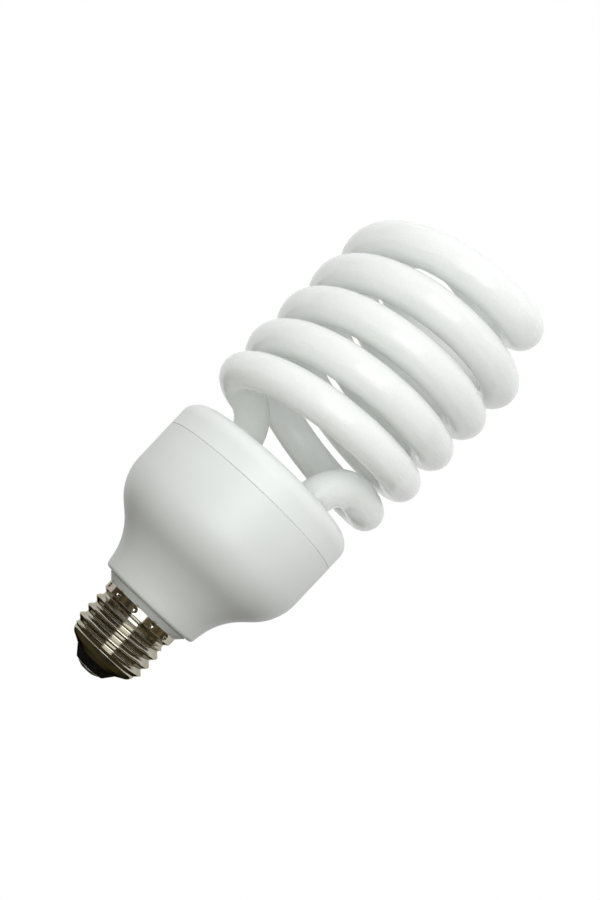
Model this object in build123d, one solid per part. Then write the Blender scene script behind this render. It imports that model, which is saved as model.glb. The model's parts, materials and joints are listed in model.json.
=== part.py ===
from build123d import *
import os
from math import cos, pi, radians, sin, sqrt, tan

# Spiral compact fluorescent bulb: a bent glass tube on a ballast housing with a screw base.
# Millimetres. +Z runs along the housing's axis from the base to the tube, and the origin is
# the middle of the centre contact's tip. Heights are stacked upwards from there.

# Screw base
CONTACT_DROP = 1.05
CONTACT_R = 4.0
CONTACT_FLAT_R = 2.4
CONTACT_RIM_T = 0.4
CONTACT_ROUND = 0.3
STEM_R = 1.1
STEM_H = 7.0
INSULATOR_CONE_H = 3.15
INSULATOR_TIP_R = 5.1
INSULATOR_TIP_ROUND = 0.5
INSULATOR_PLUG_H = 1.9
SHELL_SHEET = 0.35
SHELL_LIP_R = 7.6
SHELL_LIP_W = 0.9
BOWL_H = 3.9
BOWL_SLOPE = 29.0
BOWL_ROUND = 2.6
THREAD_CREST_R = 13.1
THREAD_DEPTH = 1.3
THREAD_PITCH = 3.629
THREAD_H = 11.9
THREAD_CREST_AT = 155.4
THREAD_RUNOUT = 1.5
THREAD_END_STEP = 0.05
COLLAR_R = 12.95
COLLAR_H = 2.6
COLLAR_RISE_H = 1.85
COLLAR_ROUND = 0.4
STAKE_COUNT = 12
STAKE_BALL_R = 1.3
STAKE_DEPTH = 0.45
STAKE_DROP = 1.2
STAKE_AT = 262.5
FIT_GAP = 0.1

# Housing
WALL = 1.8
RING_H = 2.1
NECK_LEDGE = 2.1
GROOVE_H = 0.35
GROOVE_DEPTH = 0.5
NECK_R = 17.1
NECK_H = 10.31
NECK_TAPER = 10.0
NECK_EDGE_ROUND = 1.2
HOUSING_R = 31.8
FLARE_ANGLE = 47.3
FLARE_HOLLOW_R = 20.0
FLARE_SHOULDER_R = 17.0
FLARE_FILL = 0.98
BODY_H = 21.3
SEAM_ROUND = 0.3
SPIGOT_DEPTH = 9.0
SPIGOT_BORE_R = 9.4
RIB_COUNT = 4
RIB_T = 1.6
RIB_H = 12.0
RIB_REACH = 2.8
RIB_AT = 30.0

# Cover
COVER_H = 10.0
COVER_TOP_T = 2.2
COVER_ROUND = 5.0
COVER_INNER_ROUND = 1.0
SKIRT_DEPTH = 9.0
SKIRT_T = 1.6
SKIRT_GAP = 0.15
BEAD_R = 0.5
BEAD_DROP = 4.0
LEG_HOLE_GAP = 0.3
CEMENT_W = 2.2
CEMENT_H = 2.5
CEMENT_GAP = 0.05

# Glass tube
TUBE_R = 5.55
COIL_R = 28.65
STRAND_GAP = 2.36
COIL_TURN = 817.5
COIL_START_AT = 198.3
COIL_START_H = 13.0
BRIDGE_RISE = 8.7
BRIDGE_SHARE = 1.17
LEG_RIM_GAP = 2.65
LEG_AT = 133.0
LEG_BEND_SHARE = 1.27
LEG_BEND_DROP = 0.6
LEG_DROP = 10.0
LEG_END_ROUND = 2.2
PINCH_W = 9.0
PINCH_T = 3.2
PINCH_H = 3.5
PINCH_ROUND = 0.8
COIL_LEAN = 3.2
COIL_LEAN_AT = 38.2
COIL_SHIFT = (0.4, -0.65)
STATION_STEP = 30.0

# Circuit board, its leads and wires
BOARD_T = 1.6
BOARD_GAP = 0.4
LEAD_R = 0.35
LEAD_PROUD = 0.8
HOLE_GAP = 0.1
STANDOFF = 0.5
PIN_SIDE = 0.9
PIN_H = 4.5
PIN_OFFSET = 5.45
PIN_SPACING = 5.0
WRAP_H = 1.8
WRAP_T = 0.4
WRAP_GAP = 0.03
FILAMENT_WIRE_R = 0.25
FILAMENT_BEND_R = 0.8
WIRE_R = 0.8
WIRE_BEND_R = 3.0
WIRE_CLEARANCE = 1.2

# Parts on the board: where each stands, its turn about Z and its sizes
BULK_CAP_AT = (-5.5, 0.0)
BULK_CAP_R = 7.0
BULK_CAP_H = 22.0
BULK_CAP_PITCH = 5.0
BULK_CAP_ROUND = 0.9
BULK_CAP_GROOVE_R = 0.5
BULK_CAP_GROOVE_DROP = 2.6
CHOKE_AT = (11.5, 2.0)
CHOKE_STANDOFF = 1.2
CORE_W = 19.0
CORE_T = 5.0
CORE_HALF_H = 8.0
CORE_BACK_T = 2.5
CORE_SIDE_LEG_W = 2.4
CORE_MID_LEG_W = 5.0
BOBBIN_GAP = 0.2
BOBBIN_WALL = 0.8
BOBBIN_FLANGE_T = 1.0
BOBBIN_FLANGE_REACH = 3.2
BOBBIN_PIN_INSET = 1.2
WINDING_GAP = 0.1
WINDING_T = 2.4
TOROID_AT = (4.5, -15.5)
TOROID_OUT_R = 5.0
TOROID_IN_R = 2.6
TOROID_H = 4.6
TOROID_WIRE_T = 0.8
TOROID_WINDINGS = 3
TOROID_WINDING_ARC = 62.0
TRANSISTOR_PLACES = ((-17.0, -7.0, 112.0), (-8.5, -16.0, 152.0))
TRANSISTOR_W = 8.0
TRANSISTOR_T = 3.2
TRANSISTOR_H = 11.0
TRANSISTOR_LEG_H = 3.0
TRANSISTOR_PITCH = 2.3
TRANSISTOR_HOLE_R = 1.6
TRANSISTOR_HOLE_DROP = 3.7
TRANSISTOR_CHAMFER = 0.4
DIODE_ROW_AT = (-4.5, 16.0)
DIODE_COUNT = 4
DIODE_STEP = 4.0
DIODE_R = 1.35
DIODE_L = 5.2
DIODE_PITCH = 10.0
RESISTOR_PLACES = ((6.0, 23.4, 0.0), (-16.3, -17.2, 134.0))
RESISTOR_R = 1.15
RESISTOR_L = 6.3
RESISTOR_PITCH = 10.0
DIAC_AT = (-4.0, -10.6)
DIAC_R = 0.95
DIAC_L = 3.8
DIAC_PITCH = 7.6
AXIAL_BEND_R = 0.8
AXIAL_END_SHARE = 0.25
RESONANT_CAP = (10.5, 17.0, 0.0, 12.0, 5.5, 10.5)
BLOCKING_CAP = (22.0, 4.0, 90.0, 10.0, 4.5, 9.0)
STARTING_CAP = (21.0, -7.0, 90.0, 7.0, 3.0, 7.0)
FILM_CAP_ROUND = 0.8
FILM_CAP_LEAD_INSET = 1.2
FILTER_CHOKE_AT = (-20.5, 4.0)
FILTER_CHOKE_R = 4.0
FILTER_CHOKE_H = 10.0
FILTER_CHOKE_WAIST = 1.0
FILTER_CHOKE_RIM = 1.5
FILTER_CHOKE_PITCH = 5.0
FUSE_AT = (-13.7, 10.0)
FUSE_R = 1.75
FUSE_L = 9.0
FUSE_LEAD_H = 2.0
LIVE_TURN_H = 7.1
LIVE_ENTRY_R = 3.5
LIVE_ENTRY_DROP = 1.9
LIVE_STEM_RUN = 16.0
NEUTRAL_EDGE_INSET = 3.0
NEUTRAL_EDGE_DROP = 6.3
NEUTRAL_TURN_H = 11.0
NEUTRAL_ENTRY_H = 1.6

# Heights of the stacked pieces
LIP_Z = CONTACT_DROP + INSULATOR_CONE_H
THREAD_Z = LIP_Z + BOWL_H
THREAD_TOP = THREAD_Z + THREAD_H
COLLAR_Z = THREAD_TOP + COLLAR_RISE_H
SHELL_TOP = COLLAR_Z + COLLAR_H
NECK_Z = SHELL_TOP + RING_H + GROOVE_H
FLARE_LOW_R = NECK_R + NECK_H * tan(radians(NECK_TAPER))
SHOULDER_Z = NECK_Z + NECK_H + (HOUSING_R - FLARE_LOW_R) / tan(radians(FLARE_ANGLE))
SEAM_Z = SHOULDER_Z + BODY_H
COVER_TOP = SEAM_Z + COVER_H
COVER_CEILING = COVER_TOP - COVER_TOP_T
BOARD_TOP = SEAM_Z - SKIRT_DEPTH
BOARD_Z = BOARD_TOP - BOARD_T
STAKE_Z = SHELL_TOP - STAKE_DROP

# Radii that follow from the others
THREAD_MEAN_R = THREAD_CREST_R - THREAD_DEPTH / 2
SHELL_WALL_R = THREAD_CREST_R - THREAD_DEPTH - THREAD_END_STEP
COLLAR_BORE_R = COLLAR_R - SHELL_SHEET
RING_TOP_R = NECK_R - NECK_LEDGE
SPIGOT_R = COLLAR_BORE_R - FIT_GAP
SPIGOT_TIP_R = SHELL_WALL_R - SHELL_SHEET - FIT_GAP
HOUSING_BORE_R = HOUSING_R - WALL
SKIRT_R = HOUSING_BORE_R - SKIRT_GAP
SKIRT_BORE_R = SKIRT_R - SKIRT_T
CEILING_R = SKIRT_BORE_R - COVER_INNER_ROUND
LEG_CIRCLE_R = CEILING_R - LEG_RIM_GAP - TUBE_R
PIN_CIRCLE_R = LEG_CIRCLE_R + PIN_OFFSET
BOARD_R = HOUSING_BORE_R - BOARD_GAP
NEUTRAL_EDGE_R = BOARD_R - NEUTRAL_EDGE_INSET
WRAP_BORE_R = PIN_SIDE / sqrt(2) + WRAP_GAP
WIRE_NECK_R = NECK_R - WALL - WIRE_R - WIRE_CLEARANCE
WIRE_BORE_R = SPIGOT_BORE_R - WIRE_BEND_R - FIT_GAP
COIL_PITCH = 2 * (2 * TUBE_R + STRAND_GAP)

# The tube stands in the cover with a slight lean, as it was cemented
COIL_SET = (
    Pos(COIL_SHIFT[0], COIL_SHIFT[1], COVER_TOP)
    * Rot(Z=COIL_LEAN_AT)
    * Rot(Y=COIL_LEAN)
    * Rot(Z=-COIL_LEAN_AT)
)
UPRIGHT = (Align.CENTER, Align.CENTER, Align.MIN)
HANGING = (Align.CENTER, Align.CENTER, Align.MAX)


def turned(*corners):
    """A solid turned about Z from (radius, height) corners. A third value rounds its corner."""
    points = [(corner[0], 0, corner[1]) for corner in corners]
    rounds = [corner[2] if len(corner) == 3 else 0 for corner in corners]
    return revolve(make_face(FilletPolyline(*points, radius=rounds, close=True)), Axis.Z)


def around(radius, angle, z=0.0):
    """The point at a radius and an angle in degrees about Z."""
    return Vector(radius * cos(radians(angle)), radius * sin(radians(angle)), z)


def wire(points, radius, bend):
    """A round wire along straight runs with equal bends."""
    path = FilletPolyline(*points, radius=[bend] * (len(points) - 2))
    section = Plane(origin=path @ 0, z_dir=path % 0) * Circle(radius)
    return sweep(section, path=path)


def pair(at, spacing, turn):
    """Two places a spacing apart about a point, in line with a turn about Z."""
    half = around(spacing / 2, turn)
    middle = Vector(*at)
    return [middle - half, middle + half]


def straight_leads(places, low_z):
    """Straight leads from a height up through the board."""
    length = BOARD_TOP + LEAD_PROUD - low_z
    return [Pos(p.X, p.Y, low_z) * Cylinder(LEAD_R, length, align=UPRIGHT) for p in places]


# Screw base


def thread_solid(inset):
    """The rolled thread: a circle carried up a small helix without turning, faded out at both ends."""
    start = THREAD_CREST_AT + 360 * THREAD_Z / THREAD_PITCH
    path = Rot(Z=start) * Helix(THREAD_PITCH, THREAD_H, THREAD_DEPTH / 2)
    section = Plane(origin=path @ 0, z_dir=(0, 0, 1)) * Circle(THREAD_MEAN_R - inset)
    rolled = sweep(section, path=path, normal=(0, 0, 1))
    end_r = SHELL_WALL_R - inset
    full_r = end_r + THREAD_RUNOUT
    limit = turned(
        (0, 0), (end_r, 0), (full_r, THREAD_RUNOUT),
        (full_r, THREAD_H - THREAD_RUNOUT), (end_r, THREAD_H), (0, THREAD_H),
    )
    return Pos(0, 0, THREAD_Z) * (limit & rolled)


def shell_bowl(inset):
    """The shell's lower end, from the lip to the thread, moved inwards by an inset."""
    slope = radians(BOWL_SLOPE)
    wall_r = SHELL_WALL_R - inset
    floor_z = LIP_Z + inset
    lip_r = SHELL_LIP_R - inset * tan(slope / 2)
    corner_z = floor_z + (wall_r - lip_r) * tan(slope)
    return turned(
        (0, floor_z), (lip_r, floor_z), (wall_r, corner_z, BOWL_ROUND - inset),
        (wall_r, THREAD_Z), (0, THREAD_Z),
    )


def shell_collar(inset):
    """The shell's upper end, widening from below the thread's root to the collar."""
    wall_r = SHELL_WALL_R - inset
    rim_r = COLLAR_R - inset
    middle_z = (THREAD_TOP + COLLAR_Z) / 2
    return turned(
        (0, THREAD_TOP), (wall_r, THREAD_TOP), (wall_r, middle_z, COLLAR_ROUND),
        (rim_r, COLLAR_Z, COLLAR_ROUND), (rim_r, SHELL_TOP), (0, SHELL_TOP),
    )


def stake_balls(radius):
    """Balls that press the staking dimples into the collar."""
    reach = COLLAR_R + STAKE_BALL_R - STAKE_DEPTH
    step = 360 / STAKE_COUNT
    places = [around(reach, STAKE_AT + step * k, STAKE_Z) for k in range(STAKE_COUNT)]
    return [Pos(place) * Sphere(radius) for place in places]


def make_screw_shell():
    outside = shell_bowl(0) + thread_solid(0) + shell_collar(0)
    inside = shell_bowl(SHELL_SHEET) + thread_solid(SHELL_SHEET) + shell_collar(SHELL_SHEET)
    lip_hole = Pos(0, 0, LIP_Z) * Cylinder(SHELL_LIP_R - SHELL_LIP_W, SHELL_SHEET, align=UPRIGHT)
    collar = Pos(0, 0, SHELL_TOP) * Cylinder(COLLAR_R, COLLAR_H, align=HANGING)
    shell = outside - inside - lip_hole
    for bump, dimple in zip(stake_balls(STAKE_BALL_R + SHELL_SHEET), stake_balls(STAKE_BALL_R)):
        shell = shell + (bump & collar)
        shell = shell - dimple
    return shell


def make_base_insulator():
    """Moulded button, held by the shell's lip between its cone and its plug."""
    hole_r = STEM_R + FIT_GAP
    plug_z = LIP_Z + SHELL_SHEET
    waist_r = SHELL_LIP_R - SHELL_LIP_W - FIT_GAP
    return turned(
        (hole_r, CONTACT_DROP), (INSULATOR_TIP_R, CONTACT_DROP, INSULATOR_TIP_ROUND),
        (SHELL_LIP_R, LIP_Z), (waist_r, LIP_Z), (waist_r, plug_z), (SHELL_LIP_R - SHELL_SHEET, plug_z),
        (SHELL_LIP_R - SHELL_SHEET, plug_z + INSULATOR_PLUG_H), (hole_r, plug_z + INSULATOR_PLUG_H),
    )


def make_centre_contact():
    """Domed rivet with a flat tip and a stem that the live lead is soldered to."""
    return turned(
        (0, 0), (CONTACT_FLAT_R, 0, CONTACT_ROUND), (CONTACT_R, CONTACT_DROP - CONTACT_RIM_T, CONTACT_ROUND),
        (CONTACT_R, CONTACT_DROP),
        (STEM_R, CONTACT_DROP), (STEM_R, CONTACT_DROP + STEM_H), (0, CONTACT_DROP + STEM_H),
    )


# Housing and cover


def flare_corners(inset):
    """The two corners of the flared shoulder, with their rounds, moved inwards by an inset."""
    taper, flare = radians(NECK_TAPER), radians(FLARE_ANGLE)
    neck_r = NECK_R - inset / cos(taper)
    line_r = HOUSING_R - inset / cos(flare)
    high_z = SHOULDER_Z + (HOUSING_R - inset - line_r) / tan(flare)
    low_z = (neck_r - line_r + tan(flare) * SHOULDER_Z - tan(taper) * NECK_Z) / (tan(flare) - tan(taper))
    low_r = neck_r + tan(taper) * (low_z - NECK_Z)
    hollow = FLARE_HOLLOW_R + inset
    shoulder = FLARE_SHOULDER_R - inset
    needed = hollow * tan((flare - taper) / 2) + shoulder * tan(flare / 2)
    share = min(1.0, FLARE_FILL * (high_z - low_z) / cos(flare) / needed)
    return (low_r, low_z, hollow * share), (HOUSING_R - inset, high_z, shoulder * share)


def make_housing():
    floor_z = NECK_Z + WALL
    floor_r = NECK_R - WALL / cos(radians(NECK_TAPER)) + tan(radians(NECK_TAPER)) * WALL
    tip_z = SHELL_TOP - SPIGOT_DEPTH
    inner = flare_corners(WALL)
    body = turned(
        (SPIGOT_BORE_R, tip_z), (SPIGOT_TIP_R, tip_z), (SPIGOT_TIP_R, COLLAR_Z), (SPIGOT_R, COLLAR_Z),
        (SPIGOT_R, SHELL_TOP), (COLLAR_R, SHELL_TOP), (RING_TOP_R, SHELL_TOP + RING_H),
        (RING_TOP_R - GROOVE_DEPTH, SHELL_TOP + RING_H), (RING_TOP_R - GROOVE_DEPTH, NECK_Z),
        (NECK_R, NECK_Z, NECK_EDGE_ROUND), *flare_corners(0), (HOUSING_R, SEAM_Z, SEAM_ROUND),
        (HOUSING_BORE_R, SEAM_Z), *reversed(inner), (floor_r, floor_z), (SPIGOT_BORE_R, floor_z),
    )
    envelope = turned(
        (0, NECK_Z), (NECK_R, NECK_Z), *flare_corners(0), (HOUSING_R, SEAM_Z), (0, SEAM_Z),
    )
    for k in range(RIB_COUNT):
        rib = Pos(BOARD_R - RIB_REACH, 0, BOARD_Z) * Box(
            RIB_REACH + WALL, RIB_T, RIB_H, align=(Align.MIN, Align.CENTER, Align.MAX)
        )
        body = body + (Rot(Z=RIB_AT + 360 * k / RIB_COUNT) * rib & envelope)
    for pocket in stake_balls(STAKE_BALL_R + SHELL_SHEET + FIT_GAP):
        body = body - pocket
    neutral_hole = Pos(0, 0, STAKE_Z) * Rot(Z=neutral_angle()) * Rot(Y=90) * Cylinder(
        WIRE_R + FIT_GAP, 2 * SPIGOT_R, align=UPRIGHT
    )
    return body - snap_ring(BEAD_R + FIT_GAP) - neutral_hole


def snap_ring(radius):
    """The round bead that snaps the cover's skirt into the housing."""
    section = Plane.XZ * Pos(SKIRT_R, SEAM_Z - BEAD_DROP) * Circle(radius)
    return revolve(section, Axis.Z)


def leg_angles():
    return (LEG_AT, LEG_AT + 180)


def leg_cylinder(angle, radius):
    """A cylinder along one leg of the leaning tube, from inside the cover to above it."""
    place = around(LEG_CIRCLE_R, angle, -LEG_DROP)
    return COIL_SET * Pos(place) * Cylinder(radius, LEG_DROP + COVER_ROUND, align=UPRIGHT)


def make_top_cover():
    cover = turned(
        (0, COVER_TOP), (HOUSING_R, COVER_TOP, COVER_ROUND), (HOUSING_R, SEAM_Z, SEAM_ROUND),
        (SKIRT_R, SEAM_Z), (SKIRT_R, BOARD_TOP), (SKIRT_BORE_R, BOARD_TOP),
        (SKIRT_BORE_R, COVER_CEILING, COVER_INNER_ROUND), (0, COVER_CEILING),
    )
    cover = cover + snap_ring(BEAD_R)
    for angle in leg_angles():
        cover = cover - leg_cylinder(angle, TUBE_R + LEG_HOLE_GAP)
    return cover


def make_tube_cement(angle):
    """Ring of cement under the cover, round one leg."""
    place = (COIL_SET * Pos(around(LEG_CIRCLE_R, angle, -COVER_TOP_T))).position
    ring = Pos(place.X, place.Y, COVER_CEILING) * Cylinder(TUBE_R + CEMENT_W, CEMENT_H, align=HANGING)
    room = Pos(0, 0, COVER_CEILING) * Cylinder(CEILING_R, CEMENT_H, align=HANGING)
    return (ring & room) - leg_cylinder(angle, TUBE_R + CEMENT_GAP)


# Glass tube


def on_coil(angle):
    """A point of the spiral and its direction, measured from the cover's top."""
    rise = COIL_PITCH * (angle - COIL_START_AT) / 360
    point = around(COIL_R, angle, COIL_START_H + rise)
    return point, (around(COIL_R, angle + 90) + Vector(0, 0, COIL_PITCH / (2 * pi))).normalized()


def two_arcs(start, leave, end, arrive, share=1.0):
    """Two tangent arcs between two points with given directions. Share sets the first arc's reach."""
    gap = end - start
    square = 2 * share * (1 - leave.dot(arrive))
    single = 2 * gap.dot(leave * share + arrive)
    reach = (-single + sqrt(single**2 + 4 * square * gap.dot(gap))) / (2 * square)
    near = start + leave * (share * reach)
    far = end - arrive * reach
    middle = (near + far * share) / (1 + share)
    first = Edge.make_tangent_arc(start, leave, middle)
    return [first, Edge.make_tangent_arc(middle, first % 1, end)]


def strand():
    """One leg, its bend, its spiral and half of the bridge at the top."""
    leg_top = around(LEG_CIRCLE_R, LEG_AT, -LEG_BEND_DROP)
    steps = round(COIL_TURN / STATION_STEP)
    stations = [on_coil(COIL_START_AT + COIL_TURN * k / steps) for k in range(steps + 1)]
    edges = [Edge.make_line(around(LEG_CIRCLE_R, LEG_AT, -LEG_DROP), leg_top)]
    edges += two_arcs(leg_top, Vector(0, 0, 1), *stations[0], LEG_BEND_SHARE)
    for here, there in zip(stations, stations[1:]):
        edges += two_arcs(*here, *there)
    end, along = stations[-1]
    back = Vector(-along.X, -along.Y, 0).normalized()
    return edges + two_arcs(end, along, Vector(0, 0, end.Z + BRIDGE_RISE), back, BRIDGE_SHARE)


def make_discharge_tube():
    half = strand()
    other = [edge.rotate(Axis.Z, 180) for edge in half]
    section = Plane(origin=half[0] @ 0, z_dir=(0, 0, 1)) * Circle(TUBE_R)
    tube = sweep(section, path=Wire(half + other))
    ends = tube.faces().filter_by(GeomType.PLANE)
    tube = fillet(ends.edges(), LEG_END_ROUND)
    for angle in leg_angles():
        pinch = Box(PINCH_T, PINCH_W, PINCH_H + LEG_END_ROUND, align=HANGING)
        pinch = fillet(pinch.edges().filter_by(Axis.Z), PINCH_ROUND)
        tube = tube + Pos(around(LEG_CIRCLE_R, angle, LEG_END_ROUND - LEG_DROP)) * Rot(Z=angle) * pinch
    return COIL_SET * tube


# Board, pins and leads


def wrap_pin_places():
    """Where the board's four wrap pins stand, two beside each leg."""
    places = []
    for angle in leg_angles():
        places += pair(around(PIN_CIRCLE_R, angle), PIN_SPACING, angle + 90)
    return places


def pinch_places():
    """Where the four filament leads leave the pinched ends of the tube."""
    low = -LEG_DROP - PINCH_H
    places = []
    for angle in leg_angles():
        for spot in pair(around(LEG_CIRCLE_R, angle), PINCH_W / 2, angle + 90):
            places.append((COIL_SET * Pos(spot.X, spot.Y, low)).position)
    return places


def make_wrap_pin(place):
    length = PIN_H + BOARD_T + LEAD_PROUD
    return Pos(place.X, place.Y, BOARD_TOP + PIN_H) * Box(PIN_SIDE, PIN_SIDE, length, align=HANGING)


def make_filament_lead(place, pin):
    """A lead from the tube's pinch, wound on its pin. The turns are one sleeve."""
    low_z = BOARD_TOP + PIN_H - WRAP_H
    wrap_r = WRAP_BORE_R + WRAP_T
    sleeve = Cylinder(wrap_r, WRAP_H, align=UPRIGHT) - Cylinder(WRAP_BORE_R, WRAP_H, align=UPRIGHT)
    run_z = low_z + WRAP_H / 2
    corner = Vector(place.X, place.Y, run_z)
    across = (Vector(pin.X, pin.Y, run_z) - corner).normalized()
    end = Vector(pin.X, pin.Y, run_z) - across * (WRAP_BORE_R + WRAP_T / 2)
    start = Vector(place.X, place.Y, place.Z - WRAP_GAP)
    return Pos(pin.X, pin.Y, low_z) * sleeve + wire([start, corner, end], FILAMENT_WIRE_R, FILAMENT_BEND_R)


def neutral_angle():
    """The neutral lead leaves between two staking dimples."""
    return STAKE_AT + 180 / STAKE_COUNT


def live_angle():
    return Vector(1, 0, 0).get_signed_angle(Vector(*FUSE_AT), Vector(0, 0, 1))


def make_live_lead():
    """From the fusible resistor down through the spigot to the centre contact's stem."""
    fuse_r = Vector(*FUSE_AT).length
    angle = live_angle()
    top_z = BOARD_Z - STANDOFF - FUSE_L - FUSE_LEAD_H
    stem_z = CONTACT_DROP + STEM_H
    route = [
        (fuse_r, top_z), (fuse_r, top_z - WIRE_BEND_R), (WIRE_NECK_R, NECK_Z + LIVE_TURN_H),
        (LIVE_ENTRY_R, NECK_Z - LIVE_ENTRY_DROP), (0, stem_z + LIVE_STEM_RUN - WIRE_BEND_R), (0, stem_z),
    ]
    return wire([around(r, angle, z) for r, z in route], WIRE_R, WIRE_BEND_R)


def make_neutral_lead():
    """From the board's edge down the wall and out through the spigot to the shell."""
    angle = neutral_angle()
    route = [
        (NEUTRAL_EDGE_R, BOARD_TOP + LEAD_PROUD), (NEUTRAL_EDGE_R, BOARD_Z - NEUTRAL_EDGE_DROP),
        (WIRE_NECK_R, NECK_Z + NEUTRAL_TURN_H), (WIRE_BORE_R, NECK_Z + NEUTRAL_ENTRY_H),
        (WIRE_BORE_R, STAKE_Z), (SPIGOT_R, STAKE_Z),
    ]
    return wire([around(r, angle, z) for r, z in route], WIRE_R, WIRE_BEND_R)


def lead_places():
    """Every place where a part's lead goes through the board."""
    places = pair(BULK_CAP_AT, BULK_CAP_PITCH, 90)
    places += choke_pin_places() + toroid_lead_places()
    for x, y, turn in TRANSISTOR_PLACES:
        places += pair((x, y), 2 * TRANSISTOR_PITCH, turn) + [Vector(x, y)]
    for at in diode_places():
        places += pair(at, DIODE_PITCH, 90)
    for x, y, turn in RESISTOR_PLACES:
        places += pair((x, y), RESISTOR_PITCH, turn)
    places += pair(DIAC_AT, DIAC_PITCH, 0)
    for cap in (RESONANT_CAP, BLOCKING_CAP, STARTING_CAP):
        places += film_cap_leads(cap)
    places += pair(FILTER_CHOKE_AT, FILTER_CHOKE_PITCH, 90)
    return places + [Vector(*FUSE_AT)]


def make_circuit_board():
    board = Pos(0, 0, BOARD_Z) * Cylinder(BOARD_R, BOARD_T, align=UPRIGHT)
    drill = Cylinder(LEAD_R + HOLE_GAP, BOARD_T, align=UPRIGHT)
    pin_drill = Cylinder(WRAP_BORE_R + HOLE_GAP, BOARD_T, align=UPRIGHT)
    holes = [Pos(p.X, p.Y, BOARD_Z) * drill for p in lead_places()]
    holes += [Pos(p.X, p.Y, BOARD_Z) * pin_drill for p in wrap_pin_places()]
    wire_place = around(NEUTRAL_EDGE_R, neutral_angle(), BOARD_Z)
    holes.append(Pos(wire_place) * Cylinder(WIRE_R + HOLE_GAP, BOARD_T, align=UPRIGHT))
    return board - holes


# Parts that hang under the board


def make_bulk_capacitor():
    """Aluminium can with its rolled groove near the board."""
    top_z = BOARD_Z - STANDOFF
    low_z = top_z - BULK_CAP_H
    can = turned(
        (0, low_z), (BULK_CAP_R, low_z, BULK_CAP_ROUND), (BULK_CAP_R, top_z, BULK_CAP_ROUND), (0, top_z),
    )
    section = Plane.XZ * Pos(BULK_CAP_R, top_z - BULK_CAP_GROOVE_DROP) * Circle(BULK_CAP_GROOVE_R)
    can = Pos(*BULK_CAP_AT) * (can - revolve(section, Axis.Z))
    return can + straight_leads(pair(BULK_CAP_AT, BULK_CAP_PITCH, 90), top_z)


def core_window():
    """Half the core's window height and the bobbin's full height."""
    half = CORE_HALF_H - CORE_BACK_T
    return half, 2 * (half - BOBBIN_GAP)


def choke_middle():
    """The plane where the two core halves meet."""
    return Pos(*CHOKE_AT, BOARD_Z - CHOKE_STANDOFF - CORE_HALF_H)


def make_choke_core(turn):
    """One E-shaped ferrite half, turned over for the lower one."""
    half_window, _ = core_window()
    core = Pos(0, 0, half_window) * Box(CORE_T, CORE_W, CORE_BACK_T, align=UPRIGHT)
    core = core + Box(CORE_T, CORE_MID_LEG_W, half_window, align=UPRIGHT)
    side_y = (CORE_W - CORE_SIDE_LEG_W) / 2
    for y in (-side_y, side_y):
        core = core + Pos(0, y, 0) * Box(CORE_T, CORE_SIDE_LEG_W, half_window, align=UPRIGHT)
    return choke_middle() * Rot(X=turn) * core


def bobbin_sizes():
    """The bobbin's bore, barrel and flange, each across X and Y."""
    bore = (CORE_T + 2 * BOBBIN_GAP, CORE_MID_LEG_W + 2 * BOBBIN_GAP)
    barrel = (bore[0] + 2 * BOBBIN_WALL, bore[1] + 2 * BOBBIN_WALL)
    flange = (barrel[0] + 2 * BOBBIN_FLANGE_REACH, barrel[1] + 2 * BOBBIN_FLANGE_REACH)
    return bore, barrel, flange


def choke_pin_places():
    flange = bobbin_sizes()[2]
    x = flange[0] / 2 - BOBBIN_PIN_INSET
    y = flange[1] / 2 - BOBBIN_PIN_INSET
    return [Vector(CHOKE_AT[0] + i * x, CHOKE_AT[1] + j * y) for i in (-1, 1) for j in (-1, 1)]


def make_choke_bobbin():
    """Moulded spool on the core's middle leg, with its four pins."""
    bore, barrel, flange = bobbin_sizes()
    _, height = core_window()
    spool = Box(*barrel, height)
    for side in (-1, 1):
        z = side * (height - BOBBIN_FLANGE_T) / 2
        spool = spool + Pos(0, 0, z) * Box(*flange, BOBBIN_FLANGE_T)
    spool = choke_middle() * (spool - Box(*bore, height))
    top_z = choke_middle().position.Z + height / 2 - BOBBIN_FLANGE_T
    return spool + straight_leads(choke_pin_places(), top_z)


def make_choke_winding():
    _, barrel, _ = bobbin_sizes()
    _, height = core_window()
    coil_h = height - 2 * BOBBIN_FLANGE_T - 2 * WINDING_GAP
    inside = [side + 2 * WINDING_GAP for side in barrel]
    outside = [side + 2 * WINDING_T for side in inside]
    coil = Box(*outside, coil_h)
    coil = fillet(coil.edges().filter_by(Axis.Z), WINDING_T / 2)
    return choke_middle() * (coil - Box(*inside, coil_h))


def toroid_top():
    return BOARD_Z - STANDOFF - TOROID_WIRE_T


def toroid_lead_places():
    """One lead for each winding, at the middle of its arc outside the ring."""
    step = 360 / TOROID_WINDINGS
    reach = TOROID_OUT_R + WINDING_GAP + TOROID_WIRE_T / 2
    return [Vector(*TOROID_AT) + around(reach, step * k) for k in range(TOROID_WINDINGS)]


def make_driver_toroid():
    ring = Cylinder(TOROID_OUT_R, TOROID_H, align=HANGING) - Cylinder(TOROID_IN_R, TOROID_H, align=HANGING)
    return Pos(*TOROID_AT, toroid_top()) * ring


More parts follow.
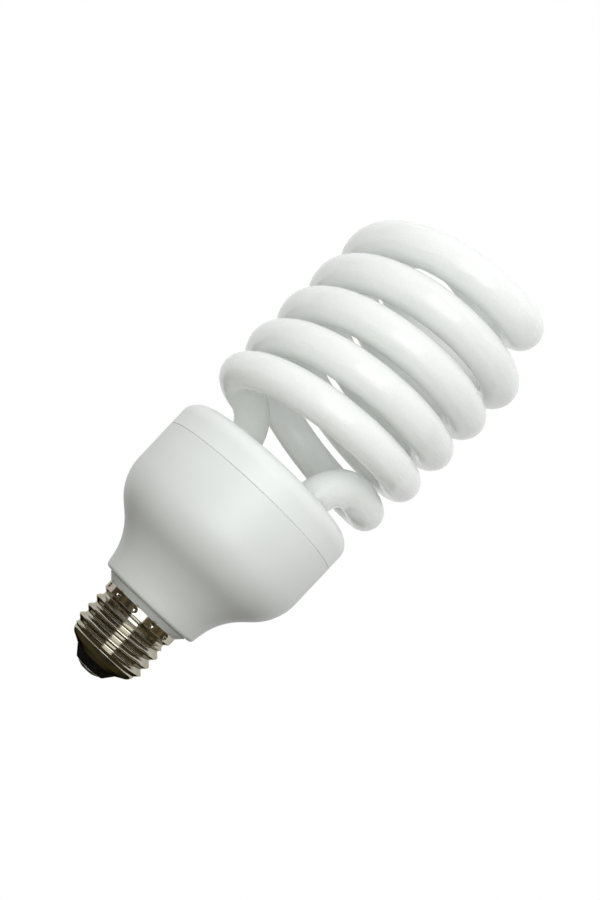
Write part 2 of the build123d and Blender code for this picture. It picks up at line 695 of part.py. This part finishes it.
def make_toroid_windings():
    """Three short windings, each a sleeve round the ring with a lead to the board."""
    gap, thick = WINDING_GAP, TOROID_WIRE_T
    inside = Rectangle(TOROID_OUT_R - TOROID_IN_R + 2 * gap, TOROID_H + 2 * gap)
    outside = Rectangle(TOROID_OUT_R - TOROID_IN_R + 2 * (gap + thick), TOROID_H + 2 * (gap + thick))
    middle = Pos((TOROID_OUT_R + TOROID_IN_R) / 2, -TOROID_H / 2)
    sleeve = revolve(Plane.XZ * middle * (outside - inside), Axis.Z, TOROID_WINDING_ARC)
    windings = []
    for k, place in enumerate(toroid_lead_places()):
        turn = 360 * k / TOROID_WINDINGS - TOROID_WINDING_ARC / 2
        coil = Pos(*TOROID_AT, toroid_top()) * Rot(Z=turn) * sleeve
        windings.append(coil + straight_leads([place], toroid_top() - TOROID_H / 2))
    return Compound(children=windings)


def make_transistor(x, y, turn):
    """Flat plastic body with a screw hole and three legs."""
    top_z = BOARD_Z - TRANSISTOR_LEG_H
    body = Box(TRANSISTOR_W, TRANSISTOR_T, TRANSISTOR_H, align=HANGING)
    body = chamfer(body.edges().filter_by(Axis.Z), TRANSISTOR_CHAMFER)
    hole_z = TRANSISTOR_HOLE_DROP - TRANSISTOR_H
    body = body - Pos(0, 0, hole_z) * Rot(X=90) * Cylinder(TRANSISTOR_HOLE_R, TRANSISTOR_T)
    legs = pair((x, y), 2 * TRANSISTOR_PITCH, turn) + [Vector(x, y)]
    return Pos(x, y, top_z) * Rot(Z=turn) * body + straight_leads(legs, top_z)


def axial_part(at, turn, radius, length, pitch):
    """A round part lying under the board with its two leads bent up through it."""
    z = BOARD_Z - STANDOFF - radius
    body = Rot(Y=90) * Cylinder(radius, length)
    body = fillet(body.edges().filter_by(GeomType.CIRCLE), AXIAL_END_SHARE * radius)
    part = Pos(*at, z) * Rot(Z=turn) * body
    middle = Vector(*at, z)
    for spot in pair(at, pitch, turn):
        corner = Vector(spot.X, spot.Y, z)
        start = middle + (corner - middle).normalized() * (length / 2 - radius / 2)
        part = part + wire([start, corner, (spot.X, spot.Y, BOARD_TOP + LEAD_PROUD)], LEAD_R, AXIAL_BEND_R)
    return part


def diode_places():
    first = DIODE_ROW_AT[0] - DIODE_STEP * (DIODE_COUNT - 1) / 2
    return [(first + DIODE_STEP * k, DIODE_ROW_AT[1]) for k in range(DIODE_COUNT)]


def film_cap_leads(cap):
    x, y, turn, width, _, _ = cap
    return pair((x, y), width - 2 * FILM_CAP_LEAD_INSET, turn)


def make_film_cap(cap):
    """Dipped film capacitor: a rounded block on two leads."""
    x, y, turn, width, depth, height = cap
    top_z = BOARD_Z - STANDOFF
    block = Box(width, depth, height, align=HANGING)
    block = fillet(block.edges(), FILM_CAP_ROUND)
    return Pos(x, y, top_z) * Rot(Z=turn) * block + straight_leads(film_cap_leads(cap), top_z - height / 2)


def make_filter_choke():
    """Drum-wound choke: a waisted spool on two leads."""
    top_z = BOARD_Z - STANDOFF
    low_z = top_z - FILTER_CHOKE_H
    waist_r = FILTER_CHOKE_R - FILTER_CHOKE_WAIST
    drum = turned(
        (0, low_z), (FILTER_CHOKE_R, low_z), (FILTER_CHOKE_R, low_z + FILTER_CHOKE_RIM),
        (waist_r, low_z + FILTER_CHOKE_RIM), (waist_r, top_z - FILTER_CHOKE_RIM),
        (FILTER_CHOKE_R, top_z - FILTER_CHOKE_RIM), (FILTER_CHOKE_R, top_z), (0, top_z),
    )
    leads = straight_leads(pair(FILTER_CHOKE_AT, FILTER_CHOKE_PITCH, 90), top_z)
    return Pos(*FILTER_CHOKE_AT) * drum + leads


def make_fusible_resistor():
    """Stands on end: one lead in the board, the other down to the live lead."""
    top_z = BOARD_Z - STANDOFF
    body = Pos(*FUSE_AT, top_z) * Cylinder(FUSE_R, FUSE_L, align=HANGING)
    body = fillet(body.edges(), AXIAL_END_SHARE * FUSE_R)
    low_lead = Pos(*FUSE_AT, top_z - FUSE_L) * Cylinder(LEAD_R, FUSE_LEAD_H, align=HANGING)
    return body + low_lead + straight_leads([Vector(*FUSE_AT)], top_z)


def build_lamp():
    """Every piece of the lamp, by its node's name."""
    lamp = {
        "centre_contact": make_centre_contact(),
        "base_insulator": make_base_insulator(),
        "screw_shell": make_screw_shell(),
        "housing": make_housing(),
        "top_cover": make_top_cover(),
        "discharge_tube": make_discharge_tube(),
        "circuit_board": make_circuit_board(),
        "bulk_capacitor": make_bulk_capacitor(),
        "choke_core_upper": make_choke_core(0),
        "choke_core_lower": make_choke_core(180),
        "choke_bobbin": make_choke_bobbin(),
        "choke_winding": make_choke_winding(),
        "driver_toroid": make_driver_toroid(),
        "toroid_windings": make_toroid_windings(),
        "resonant_capacitor": make_film_cap(RESONANT_CAP),
        "blocking_capacitor": make_film_cap(BLOCKING_CAP),
        "starting_capacitor": make_film_cap(STARTING_CAP),
        "filter_choke": make_filter_choke(),
        "fusible_resistor": make_fusible_resistor(),
        "diac": axial_part(DIAC_AT, 0, DIAC_R, DIAC_L, DIAC_PITCH),
        "live_lead": make_live_lead(),
        "neutral_lead": make_neutral_lead(),
    }
    for k, angle in enumerate(leg_angles(), 1):
        lamp[f"tube_cement_{k}"] = make_tube_cement(angle)
    for k, place in enumerate(TRANSISTOR_PLACES, 1):
        lamp[f"transistor_{k}"] = make_transistor(*place)
    for k, at in enumerate(diode_places(), 1):
        lamp[f"rectifier_diode_{k}"] = axial_part(at, 90, DIODE_R, DIODE_L, DIODE_PITCH)
    for k, (x, y, turn) in enumerate(RESISTOR_PLACES, 1):
        lamp[f"base_resistor_{k}"] = axial_part((x, y), turn, RESISTOR_R, RESISTOR_L, RESISTOR_PITCH)
    for k, (place, pin) in enumerate(zip(pinch_places(), wrap_pin_places()), 1):
        lamp[f"wrap_pin_{k}"] = make_wrap_pin(pin)
        lamp[f"filament_lead_{k}"] = make_filament_lead(place, pin)
    return lamp


os.makedirs("parts", exist_ok=True)
for name, piece in build_lamp().items():
    export_step(piece, f"parts/{name}.step")
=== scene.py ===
import json
import math

import bmesh
import bpy
from mathutils import Matrix, Vector

# Looks of a spiral compact fluorescent bulb. Metres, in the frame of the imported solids:
# +Z runs from the screw base to the tube, and the origin is the tip of the centre contact.

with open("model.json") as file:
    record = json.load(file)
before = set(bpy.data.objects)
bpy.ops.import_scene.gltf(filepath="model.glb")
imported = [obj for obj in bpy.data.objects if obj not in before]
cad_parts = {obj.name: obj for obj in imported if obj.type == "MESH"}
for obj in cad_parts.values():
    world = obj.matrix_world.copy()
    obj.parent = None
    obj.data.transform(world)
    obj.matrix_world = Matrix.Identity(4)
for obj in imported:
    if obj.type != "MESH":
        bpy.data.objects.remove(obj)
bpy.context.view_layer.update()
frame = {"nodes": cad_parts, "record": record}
nodes = frame["nodes"]

WHITE = (1.0, 1.0, 1.0)

# Camera: level with the housing's neck, rolled so that the lamp's axis rises to the upper right.
# The focal length and the point straight ahead are in pixels of the image.
IMAGE_W, IMAGE_H = 600, 900
SENSOR = 36.0
CAMERA_AT = Vector((-0.0010, -0.3155, 0.0363))
AXIS_RIGHT, AXIS_UP = 0.6852, 0.7284
FOCAL_PX = 1060.0
PRINCIPAL_PX = (167.8, 578.3)
CLIP_START = 0.01

# Tube: its climb per radian of turn, how close its streaks lie along and across it,
# and the heights and tone of a painted shade on the legs near the cover, which fades to the full
# tone higher up
COIL_CLIMB = 0.00429
STREAKS = (9.0, 1300.0, 1.0)
TUBE_FOOT_SHADE_Z = (0.078, 0.100)
TUBE_FOOT_SHADE_TONE = (0.90, 0.91, 0.89)

# Housing: painted shade, darker towards the screw base, where less light falls
PAINTED_SHADE_Z = (0.036, 0.066)
PAINTED_SHADE_TONE = (0.80, 0.795, 0.78)

# Screw shell: how near facing metal must be for grime and painted shade to gather in the grooves
GRIME_AND_SHADE_REACH = 0.0016

# Floor: its place, the share of the lamp's shadow that shows, and the distances
# between which the shadow fades to white; within them the floor is greyer even where
# no shadow falls, a painted shadow
FLOOR_Z = -0.12
FLOOR_R = 3.0
FLOOR_SIDES = 96
FLOOR_SHADOW_R = (0.08, 0.16)
FLOOR_SHADOW = 0.22

# Dark room that the metal mirrors: a wall behind the camera and a disc just over the floor
WALL_R = 0.9
WALL_Z = (-0.5, 0.9)
WALL_ARC = 105.0
WALL_STEPS = 48
PIT_R = 0.48
PIT_Z = -0.115
PIT_SIDES = 48
PIT_TONE = (0.20, 0.20, 0.20)

# Light: the world's strength from level to overhead, and soft boxes in metres and watts
WORLD_FILL = (0.58, 0.90)
LIGHT_COLOUR = (0.965, 1.0, 0.985)
LAMP_MIDDLE = Vector((0.0, 0.0, 0.085))
SOFT_BOXES = {
    "key": {"at": (0.02, -0.36, 0.13), "width": 0.22, "height": 0.32,
            "power": 0.75, "mirrored": True},
    "back_light": {"at": (0.05, 0.75, 0.07), "width": 0.60, "height": 0.60,
                   "power": 0.7, "mirrored": False},
    "left_fill": {"at": (-0.50, -0.22, 0.12), "width": 0.50, "height": 0.60,
                  "power": 0.48, "mirrored": False},
}

# The part of a noise texture's range that most of its values lie in
NOISE_SPAN = (0.3, 0.7)

# The colour sockets of a Mix node
MIX_FIRST, MIX_SECOND, MIX_RESULT = 6, 7, 2


# Node helpers


def material_of(name, values):
    """A new material with its constant values on the shader's own sockets."""
    material = bpy.data.materials.new(name)
    material.use_nodes = True
    tree = material.node_tree
    shader = tree.nodes["Principled BSDF"]
    for socket, value in values.items():
        shader.inputs[socket].default_value = value
    return material, tree, shader


def place(tree, scale=(1.0, 1.0, 1.0)):
    """The object's own coordinates, stretched by a scale."""
    source = tree.nodes.new("ShaderNodeTexCoord")
    mapping = tree.nodes.new("ShaderNodeMapping")
    mapping.inputs["Scale"].default_value = scale
    tree.links.new(source.outputs["Object"], mapping.inputs["Vector"])
    return mapping.outputs["Vector"]


def noise(tree, vector, scale, detail, roughness=0.5):
    """A cloudy value between 0 and 1."""
    node = tree.nodes.new("ShaderNodeTexNoise")
    node.inputs["Scale"].default_value = scale
    node.inputs["Detail"].default_value = detail
    node.inputs["Roughness"].default_value = roughness
    tree.links.new(vector, node.inputs["Vector"])
    return node.outputs["Fac"]


def ramp(tree, value, stops):
    """Colours along a value, from (position, colour) stops."""
    node = tree.nodes.new("ShaderNodeValToRGB")
    points = node.color_ramp.elements
    for point, (position, colour) in zip(points, stops):
        point.position = position
        point.color = (*colour, 1.0)
    tree.links.new(value, node.inputs["Fac"])
    return node.outputs["Color"]


def spread(tree, value, to, span=NOISE_SPAN):
    """A value moved from a span to a new range."""
    node = tree.nodes.new("ShaderNodeMapRange")
    node.inputs["From Min"].default_value = span[0]
    node.inputs["From Max"].default_value = span[1]
    node.inputs["To Min"].default_value = to[0]
    node.inputs["To Max"].default_value = to[1]
    tree.links.new(value, node.inputs["Value"])
    return node.outputs["Result"]


def multiply(tree, first, second):
    """One colour multiplied by another."""
    node = tree.nodes.new("ShaderNodeMix")
    node.data_type = "RGBA"
    node.blend_type = "MULTIPLY"
    node.inputs["Factor"].default_value = 1.0
    tree.links.new(first, node.inputs[MIX_FIRST])
    tree.links.new(second, node.inputs[MIX_SECOND])
    return node.outputs[MIX_RESULT]


def bump(tree, shader, height, strength, distance):
    """Bumps on the shader's surface; gives back the bumped normal."""
    node = tree.nodes.new("ShaderNodeBump")
    node.inputs["Strength"].default_value = strength
    node.inputs["Distance"].default_value = distance
    tree.links.new(height, node.inputs["Height"])
    tree.links.new(node.outputs["Normal"], shader.inputs["Normal"])
    return node.outputs["Normal"]


def split_place(tree):
    """The object's own coordinates as three outputs."""
    source = tree.nodes.new("ShaderNodeTexCoord")
    split = tree.nodes.new("ShaderNodeSeparateXYZ")
    tree.links.new(source.outputs["Object"], split.inputs["Vector"])
    return split.outputs


def tone_by_height(tree, heights, low_tone):
    """A tone that goes to white between two heights along the lamp's axis."""
    rise = spread(tree, split_place(tree)["Z"], (0.0, 1.0), heights)
    return ramp(tree, rise, [(0.0, low_tone), (1.0, WHITE)])


def round_the_axis(tree):
    """Coordinates that run slowly along the tube's turns and fast across them."""
    split = split_place(tree)
    turn = tree.nodes.new("ShaderNodeMath")
    turn.operation = "ARCTAN2"
    tree.links.new(split["Y"], turn.inputs[0])
    tree.links.new(split["X"], turn.inputs[1])
    climb = tree.nodes.new("ShaderNodeMath")
    climb.operation = "MULTIPLY_ADD"
    climb.inputs[1].default_value = -COIL_CLIMB
    tree.links.new(turn.outputs["Value"], climb.inputs[0])
    tree.links.new(split["Z"], climb.inputs[2])
    joined = tree.nodes.new("ShaderNodeCombineXYZ")
    tree.links.new(turn.outputs["Value"], joined.inputs["X"])
    tree.links.new(climb.outputs["Value"], joined.inputs["Y"])
    mapping = tree.nodes.new("ShaderNodeMapping")
    mapping.inputs["Scale"].default_value = STREAKS
    tree.links.new(joined.outputs["Vector"], mapping.inputs["Vector"])
    return mapping.outputs["Vector"]


# Materials


def make_tube_glass():
    """Clear glass over a white phosphor coating that is a little uneven."""
    material, tree, shader = material_of("phosphor_glass", {
        "Roughness": 0.55,
        "Specular IOR Level": 0.0,
        "Subsurface Weight": 1.0,
        "Subsurface Radius": (1.0, 1.0, 1.0),
        "Subsurface Scale": 0.020,
        "Coat Weight": 0.8,
        "Coat Roughness": 0.06,
        "Coat IOR": 1.5,
    })
    patches = ramp(tree, noise(tree, place(tree), scale=55.0, detail=2.0), [
        (0.30, (0.905, 0.932, 0.905)),
        (0.70, (0.925, 0.950, 0.925)),
    ])
    grain = ramp(tree, noise(tree, place(tree), scale=1400.0, detail=2.0), [
        (0.25, (0.965, 0.965, 0.965)),
        (0.75, WHITE),
    ])
    # Painted shade: the legs are greyer near the cover, where the coil shades them.
    foot_shade = tone_by_height(tree, TUBE_FOOT_SHADE_Z, TUBE_FOOT_SHADE_TONE)
    tone = multiply(tree, multiply(tree, patches, grain), foot_shade)
    tree.links.new(tone, shader.inputs["Base Color"])
    streaks = noise(tree, round_the_axis(tree), scale=1.0, detail=3.0)
    normal = bump(tree, shader, streaks, strength=0.35, distance=0.0004)
    tree.links.new(normal, shader.inputs["Coat Normal"])
    return material


def make_plastic(name, low, high, roughness, coat, painted_shade_heights=None):
    """Moulded plastic with a fine spark texture and slight unevenness of colour and gloss.

    The last argument gives the heights between which a painted shade, darker towards the screw
    base, fades into the plastic's full tone.
    """
    material, tree, shader = material_of(name, {"Coat Weight": coat, "Coat Roughness": 0.35})
    cloud = noise(tree, place(tree), scale=28.0, detail=3.0)
    tone = ramp(tree, cloud, [(0.3, low), (0.7, high)])
    # Painted shade: darker towards the screw base, where less light falls.
    if painted_shade_heights:
        tone = multiply(tree, tone, tone_by_height(tree, painted_shade_heights, PAINTED_SHADE_TONE))
    tree.links.new(tone, shader.inputs["Base Color"])
    spark = noise(tree, place(tree), scale=2600.0, detail=2.0, roughness=0.6)
    gloss = spread(tree, spark, (roughness - 0.05, roughness + 0.05))
    tree.links.new(gloss, shader.inputs["Roughness"])
    bump(tree, shader, spark, strength=0.08, distance=0.0002)
    return material


def make_shell_metal():
    """Nickel-plated sheet, rolled, with fine lines round it and, in the grooves, grime and
    painted shade.
    """
    material, tree, shader = material_of("nickel_sheet", {
        "Metallic": 1.0,
        "Specular Tint": (0.66, 0.64, 0.54, 1.0),
    })
    lines = noise(tree, place(tree, (120.0, 120.0, 5200.0)), scale=1.0, detail=3.0, roughness=0.6)
    cloud = noise(tree, place(tree), scale=190.0, detail=4.0, roughness=0.6)
    tone = ramp(tree, cloud, [(0.30, (0.42, 0.395, 0.34)), (0.70, (0.52, 0.50, 0.45))])
    streak = ramp(tree, lines, [(0.25, (0.88, 0.88, 0.88)), (0.75, WHITE)])
    # Grime and painted shade: the metal darkens where other metal faces it close by, in the
    # thread's grooves.
    groove = tree.nodes.new("ShaderNodeAmbientOcclusion")
    groove.inputs["Distance"].default_value = GRIME_AND_SHADE_REACH
    grime_and_shade = ramp(tree, groove.outputs["AO"], [(0.15, (0.30, 0.26, 0.18)), (0.85, WHITE)])
    tone = multiply(tree, multiply(tree, tone, streak), grime_and_shade)
    tree.links.new(tone, shader.inputs["Base Color"])
    tree.links.new(spread(tree, lines, (0.09, 0.17)), shader.inputs["Roughness"])
    bump(tree, shader, lines, strength=0.05, distance=0.0001)
    return material


def make_insulator():
    """Black moulded glass with a few dull specks."""
    material, tree, shader = material_of("black_insulator", {"Specular IOR Level": 0.08})
    cloud = noise(tree, place(tree), scale=420.0, detail=4.0)
    tone = ramp(tree, cloud, [(0.35, (0.003, 0.003, 0.003)), (0.75, (0.010, 0.010, 0.009))])
    tree.links.new(tone, shader.inputs["Base Color"])
    tree.links.new(spread(tree, cloud, (0.14, 0.30)), shader.inputs["Roughness"])
    pits = noise(tree, place(tree), scale=800.0, detail=2.0)
    bump(tree, shader, pits, strength=0.10, distance=0.0001)
    return material


def make_metal(name, low, high, roughness, scale):
    """Plain tinned or bare metal with a cloudy finish."""
    material, tree, shader = material_of(name, {"Metallic": 1.0})
    cloud = noise(tree, place(tree), scale, detail=4.0, roughness=0.6)
    tree.links.new(ramp(tree, cloud, [(0.3, low), (0.7, high)]), shader.inputs["Base Color"])
    gloss = spread(tree, cloud, (roughness - 0.08, roughness + 0.08))
    tree.links.new(gloss, shader.inputs["Roughness"])
    bump(tree, shader, cloud, strength=0.10, distance=0.0001)
    return material


def make_laminate():
    """Bare board with the weave of its paper and resin."""
    material, tree, shader = material_of("board_laminate", {"Roughness": 0.5})
    weave = place(tree, (300.0, 2400.0, 300.0))
    fibres = noise(tree, weave, scale=1.0, detail=4.0, roughness=0.65)
    tone = ramp(tree, fibres, [(0.3, (0.46, 0.33, 0.15)), (0.7, (0.60, 0.46, 0.24))])
    tree.links.new(tone, shader.inputs["Base Color"])
    bump(tree, shader, fibres, strength=0.08, distance=0.0001)
    return material


def make_windings():
    """Enamelled copper wire lying turn by turn."""
    material, tree, shader = material_of("copper_windings", {"Metallic": 1.0, "Roughness": 0.3})
    wave = tree.nodes.new("ShaderNodeTexWave")
    wave.wave_type = "BANDS"
    wave.bands_direction = "Z"
    wave.inputs["Scale"].default_value = 700.0
    tree.links.new(place(tree), wave.inputs["Vector"])
    turns = wave.outputs["Fac"]
    tone = ramp(tree, turns, [(0.0, (0.28, 0.11, 0.04)), (0.6, (0.72, 0.34, 0.16))])
    tree.links.new(tone, shader.inputs["Base Color"])
    bump(tree, shader, turns, strength=0.5, distance=0.0002)
    return material


# Each material slot of the record with its material
MATERIALS = {
    "tube_glass": make_tube_glass(),
    # The housing plastic carries a painted shade towards the screw base.
    "housing_plastic": make_plastic(
        "housing_plastic", low=(0.725, 0.74, 0.73), high=(0.755, 0.77, 0.76),
        roughness=0.42, coat=0.0, painted_shade_heights=PAINTED_SHADE_Z),
    # The cover plastic is a little lighter than the housing plastic: partly its own whiter tone,
    # partly painted light for the stronger light on the lamp's upper end.
    "cover_plastic": make_plastic(
        "cover_plastic", low=(0.765, 0.78, 0.765), high=(0.795, 0.81, 0.795),
        roughness=0.40, coat=0.0),
    "shell_metal": make_shell_metal(),
    "insulator": make_insulator(),
    "contact_metal": make_metal(
        "tinned_contact", low=(0.52, 0.50, 0.45), high=(0.66, 0.64, 0.60),
        roughness=0.35, scale=700.0),
    "cement": make_plastic(
        "cement", low=(0.72, 0.69, 0.62), high=(0.80, 0.78, 0.72),
        roughness=0.8, coat=0.0),
    "board": make_laminate(),
    "capacitor_can": make_plastic(
        "capacitor_sleeve", low=(0.020, 0.025, 0.050), high=(0.035, 0.040, 0.070),
        roughness=0.3, coat=0.3),
    "ferrite": make_plastic(
        "ferrite", low=(0.070, 0.070, 0.075), high=(0.11, 0.11, 0.115),
        roughness=0.6, coat=0.0),
    "bobbin_plastic": make_plastic(
        "bobbin_plastic", low=(0.03, 0.03, 0.03), high=(0.05, 0.05, 0.05),
        roughness=0.45, coat=0.0),
    "copper": make_windings(),
    "black_package": make_plastic(
        "black_package", low=(0.025, 0.025, 0.025), high=(0.045, 0.045, 0.045),
        roughness=0.5, coat=0.0),
    "film_capacitor": make_plastic(
        "dipped_resin", low=(0.42, 0.10, 0.04), high=(0.52, 0.14, 0.06),
        roughness=0.25, coat=0.5),
    "resistor_body": make_plastic(
        "resistor_paint", low=(0.58, 0.46, 0.29), high=(0.66, 0.54, 0.36),
        roughness=0.35, coat=0.2),
    "tinned_wire": make_metal(
        "tinned_wire", low=(0.60, 0.60, 0.58), high=(0.72, 0.72, 0.70),
        roughness=0.32, scale=900.0),
    "live_wire": make_plastic(
        "live_insulation", low=(0.02, 0.02, 0.02), high=(0.04, 0.04, 0.04),
        roughness=0.35, coat=0.2),
    "neutral_wire": make_plastic(
        "neutral_insulation", low=(0.78, 0.78, 0.76), high=(0.84, 0.84, 0.82),
        roughness=0.35, coat=0.2),
}

for part in frame["record"]["subparts"]:
    nodes[part["node"]].material_slots[0].material = MATERIALS[part["material_slot"]]


# Floor


def white_to_eye(tree):
    """One for camera, mirror and glass rays, so that what they see there is plain white."""
    path = tree.nodes.new("ShaderNodeLightPath")
    total = path.outputs["Is Camera Ray"]
    for name in ("Is Glossy Ray", "Is Transmission Ray"):
        largest = tree.nodes.new("ShaderNodeMath")
        largest.operation = "MAXIMUM"
        tree.links.new(total, largest.inputs[0])
        tree.links.new(path.outputs[name], largest.inputs[1])
        total = largest.outputs["Value"]
    return total


def floor_material():
    """Pale to the light, and to the eye white with a share of the lamp's shadow near it; that
    share also greys the floor near the lamp where no shadow falls, a painted shadow.
    """
    material = bpy.data.materials.new("floor_white")
    material.use_nodes = True
    tree = material.node_tree
    tree.nodes.remove(tree.nodes["Principled BSDF"])
    diffuse = tree.nodes.new("ShaderNodeBsdfDiffuse")
    cloud = noise(tree, place(tree), scale=6.0, detail=2.0)
    tone = ramp(tree, cloud, [(0.3, (0.28, 0.275, 0.255)), (0.7, (0.31, 0.305, 0.285))])
    tree.links.new(tone, diffuse.inputs["Color"])
    white = tree.nodes.new("ShaderNodeEmission")
    white.inputs["Strength"].default_value = 1.0
    distance = tree.nodes.new("ShaderNodeVectorMath")
    distance.operation = "LENGTH"
    tree.links.new(place(tree), distance.inputs[0])
    # Near the lamp the dark diffuse share greys the floor even where no shadow falls: a painted
    # shadow.
    shown = spread(tree, distance.outputs["Value"], (1.0 - FLOOR_SHADOW, 1.0), FLOOR_SHADOW_R)
    seen = tree.nodes.new("ShaderNodeMath")
    seen.operation = "MULTIPLY"
    tree.links.new(white_to_eye(tree), seen.inputs[0])
    tree.links.new(shown, seen.inputs[1])
    mix = tree.nodes.new("ShaderNodeMixShader")
    tree.links.new(seen.outputs["Value"], mix.inputs["Fac"])
    tree.links.new(diffuse.outputs["BSDF"], mix.inputs[1])
    tree.links.new(white.outputs["Emission"], mix.inputs[2])
    tree.links.new(mix.outputs["Shader"], tree.nodes["Material Output"].inputs["Surface"])
    return material


def make_floor():
    """A plain floor that shows the lamp's soft shadow near the lamp, greyed there also by a
    painted shadow, and is white farther off.
    """
    mesh = bpy.data.meshes.new("floor")
    shape = bmesh.new()
    bmesh.ops.create_circle(shape, cap_ends=True, segments=FLOOR_SIDES, radius=FLOOR_R)
    shape.to_mesh(mesh)
    shape.free()
    floor = bpy.data.objects.new("floor", mesh)
    floor.location.z = FLOOR_Z
    bpy.context.scene.collection.objects.link(floor)
    mesh.materials.append(floor_material())


make_floor()


# Light


def make_world():
    """White fill, stronger from above, and a white background."""
    world = bpy.data.worlds.new("studio")
    bpy.context.scene.world = world
    world.use_nodes = True
    tree = world.node_tree
    background = tree.nodes["Background"]
    background.inputs["Color"].default_value = (*WHITE, 1.0)
    source = tree.nodes.new("ShaderNodeTexCoord")
    split = tree.nodes.new("ShaderNodeSeparateXYZ")
    tree.links.new(source.outputs["Generated"], split.inputs["Vector"])
    fill = spread(tree, split.outputs["Z"], WORLD_FILL, (0.0, 1.0))
    strength = tree.nodes.new("ShaderNodeMapRange")
    tree.links.new(white_to_eye(tree), strength.inputs["Value"])
    tree.links.new(fill, strength.inputs["To Min"])
    tree.links.new(strength.outputs["Result"], background.inputs["Strength"])


def make_soft_box(name, at, width, height, power, mirrored):
    """A soft box that faces the lamp's middle, and that shiny surfaces mirror or not."""
    light = bpy.data.lights.new(name, "AREA")
    light.shape = "RECTANGLE"
    light.size = width
    light.size_y = height
    light.energy = power
    light.color = LIGHT_COLOUR
    soft_box = bpy.data.objects.new(name, light)
    soft_box.location = at
    soft_box.visible_camera = False
    soft_box.visible_glossy = mirrored
    soft_box.rotation_mode = "QUATERNION"
    soft_box.rotation_quaternion = (LAMP_MIDDLE - Vector(at)).to_track_quat("-Z", "Y")
    bpy.context.scene.collection.objects.link(soft_box)


def dark_room_material():
    """Patchy dark brown, darker towards the disc below."""
    material, tree, shader = material_of("dark_room", {
        "Roughness": 1.0,
        "Specular IOR Level": 0.0,
    })
    cloud = noise(tree, place(tree), scale=3.5, detail=2.0)
    room = ramp(tree, cloud, [(0.38, (0.040, 0.032, 0.016)), (0.60, (0.40, 0.315, 0.15))])
    tone = multiply(tree, room, tone_by_height(tree, (PIT_Z, 0.0), PIT_TONE))
    tree.links.new(tone, shader.inputs["Base Color"])
    return material


def make_dark_wall():
    """The dark room behind the camera and a dark disc below, seen only in reflections."""
    mesh = bpy.data.meshes.new("dark_wall")
    shape = bmesh.new()
    rows = []
    for z in WALL_Z:
        row = []
        for k in range(WALL_STEPS + 1):
            turn = math.radians(-90 - WALL_ARC + 2 * WALL_ARC * k / WALL_STEPS)
            row.append(shape.verts.new((WALL_R * math.cos(turn), WALL_R * math.sin(turn), z)))
        rows.append(row)
    low, high = rows
    for k in range(WALL_STEPS):
        shape.faces.new((low[k], low[k + 1], high[k + 1], high[k]))
    bmesh.ops.create_circle(shape, cap_ends=True, segments=PIT_SIDES, radius=PIT_R,
                            matrix=Matrix.Translation((0.0, 0.0, PIT_Z)))
    shape.to_mesh(mesh)
    shape.free()
    wall = bpy.data.objects.new("dark_wall", mesh)
    bpy.context.scene.collection.objects.link(wall)
    wall.visible_camera = False
    wall.visible_diffuse = False
    wall.visible_transmission = False
    wall.visible_shadow = False
    mesh.materials.append(dark_room_material())


make_world()
make_dark_wall()
for box_name, box in SOFT_BOXES.items():
    make_soft_box(box_name, **box)


# Camera


def make_camera():
    """The photograph's camera, shifted so that the lamp lies where it does in the picture."""
    data = bpy.data.cameras.new("camera")
    data.sensor_width = SENSOR
    data.lens = FOCAL_PX * SENSOR / IMAGE_H
    data.shift_x = (IMAGE_W / 2 - PRINCIPAL_PX[0]) / IMAGE_H
    data.shift_y = (PRINCIPAL_PX[1] - IMAGE_H / 2) / IMAGE_H
    data.clip_start = CLIP_START
    camera = bpy.data.objects.new("camera", data)
    right = Vector((AXIS_UP, 0.0, AXIS_RIGHT))
    up = Vector((-AXIS_RIGHT, 0.0, AXIS_UP))
    back = right.cross(up)
    turn = Matrix((right, up, back)).transposed().to_4x4()
    camera.matrix_world = Matrix.Translation(CAMERA_AT) @ turn
    bpy.context.scene.collection.objects.link(camera)
    bpy.context.scene.camera = camera


make_camera()
bpy.context.scene.view_settings.view_transform = "Standard"
